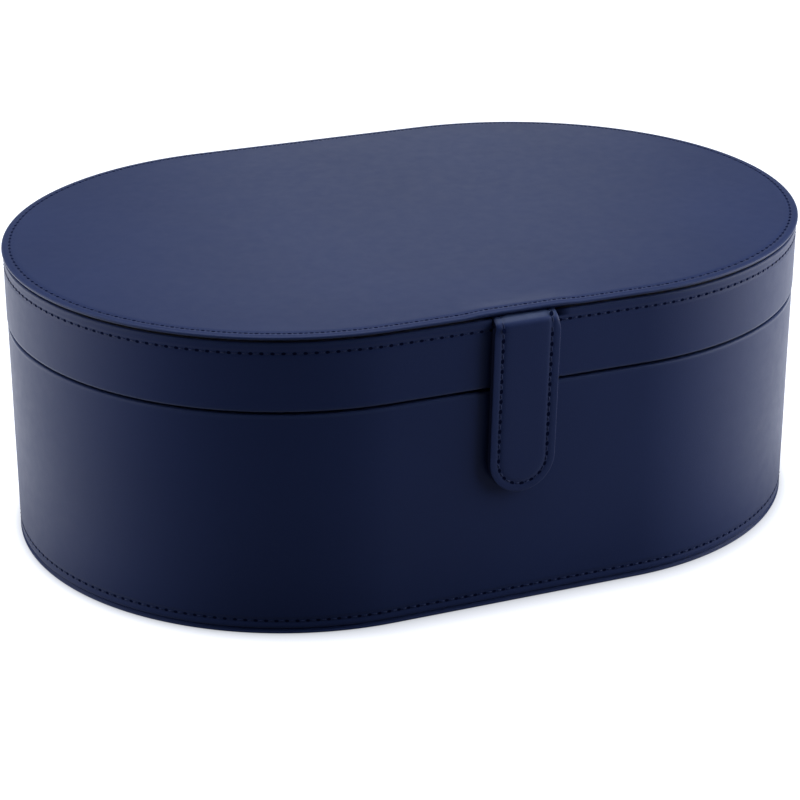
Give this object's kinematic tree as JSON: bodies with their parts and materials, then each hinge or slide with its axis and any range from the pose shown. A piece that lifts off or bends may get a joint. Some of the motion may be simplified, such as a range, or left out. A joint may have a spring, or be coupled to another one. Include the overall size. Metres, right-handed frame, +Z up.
{
  "type": "jewellery case",
  "caption": "Oval leather jewellery case: hinged lid with mirror, magnetic front tab, lift-out tray with ring rolls over divided lower compartments.",
  "frame": {"origin": "middle of the underside of the base panel", "axes": "+X along the length, +Y to the back, where the hinges are, +Z up; the front tab faces -Y"},
  "size_m": [0.3, 0.2122, 0.111],
  "materials": {
    "navy_leather": "smooth satin finished leather, tone-on-tone stitching",
    "board": "grey board",
    "foam": "thin open foam",
    "velvet": "short pile velvet over a backing",
    "ribbon": "woven grosgrain ribbon",
    "steel": "plain steel",
    "magnet": "nickel plated magnet",
    "brass": "satin brass",
    "mirror_glass": "silvered glass"
  },
  "bodies": {
    "body": {"base_leather": "navy_leather", "base_board": "board", "body_wall_leather": "navy_leather", "body_wall_board": "board", "collar_board": "board", "collar_lining": "velvet", "floor_pad": "velvet", "lower_divider_long": "velvet", "lower_divider_left": "velvet", "lower_divider_right": "velvet", "keeper_plate": "steel", "body_hinge_leaf_left": "brass", "body_hinge_leaf_right": "brass", "hinge_pin_left": "steel", "hinge_pin_right": "steel", "body_hinge_screws": "brass"},
    "lid": {"top_leather": "navy_leather", "top_foam": "foam", "top_board": "board", "lid_wall_leather": "navy_leather", "lid_wall_board": "board", "lid_lining": "velvet", "lid_inner_board": "board", "lid_pad": "velvet", "mirror_glass": "mirror_glass", "mirror_frame": "navy_leather", "lid_hinge_leaf_left": "brass", "lid_hinge_leaf_right": "brass", "lid_hinge_screws": "brass", "tab_strap_root": "navy_leather"},
    "tab": {"tab_front_leather": "navy_leather", "tab_back_leather": "navy_leather", "tab_stiffener": "board", "tab_magnet": "magnet"},
    "tray": {"tray_base_board": "board", "tray_wall_board": "velvet", "tray_lining": "velvet", "tray_divider_left": "velvet", "tray_divider_right": "velvet", "tray_divider_middle": "velvet", "tray_divider_end_left": "velvet", "tray_divider_end_right": "velvet", "tray_divider_back_left": "velvet", "tray_divider_back_right": "velvet", "tray_pull_left": "ribbon", "tray_pull_right": "ribbon", "ring_roll_1": "velvet", "ring_roll_2": "velvet", "ring_roll_3": "velvet", "ring_roll_4": "velvet", "ring_roll_5": "velvet", "ring_roll_6": "velvet", "ring_roll_7": "velvet"}
  },
  "joints": [
    {"name": "lid_hinge", "type": "hinge", "parent": "body", "child": "lid", "pos_m": [0, 0.10325, 0.083], "axis": [-1, 0, 0], "range_deg": [0, 100]},
    {"name": "tab_flex", "type": "hinge", "parent": "lid", "child": "tab", "pos_m": [-0.0009, -0.1061, 0.105], "axis": [-1, 0, 0], "range_deg": [0, 90]},
    {"name": "tray_lift", "type": "slide", "parent": "body", "child": "tray", "axis": [0, 0, 1], "range_m": [0, 0.016]}
  ]
}
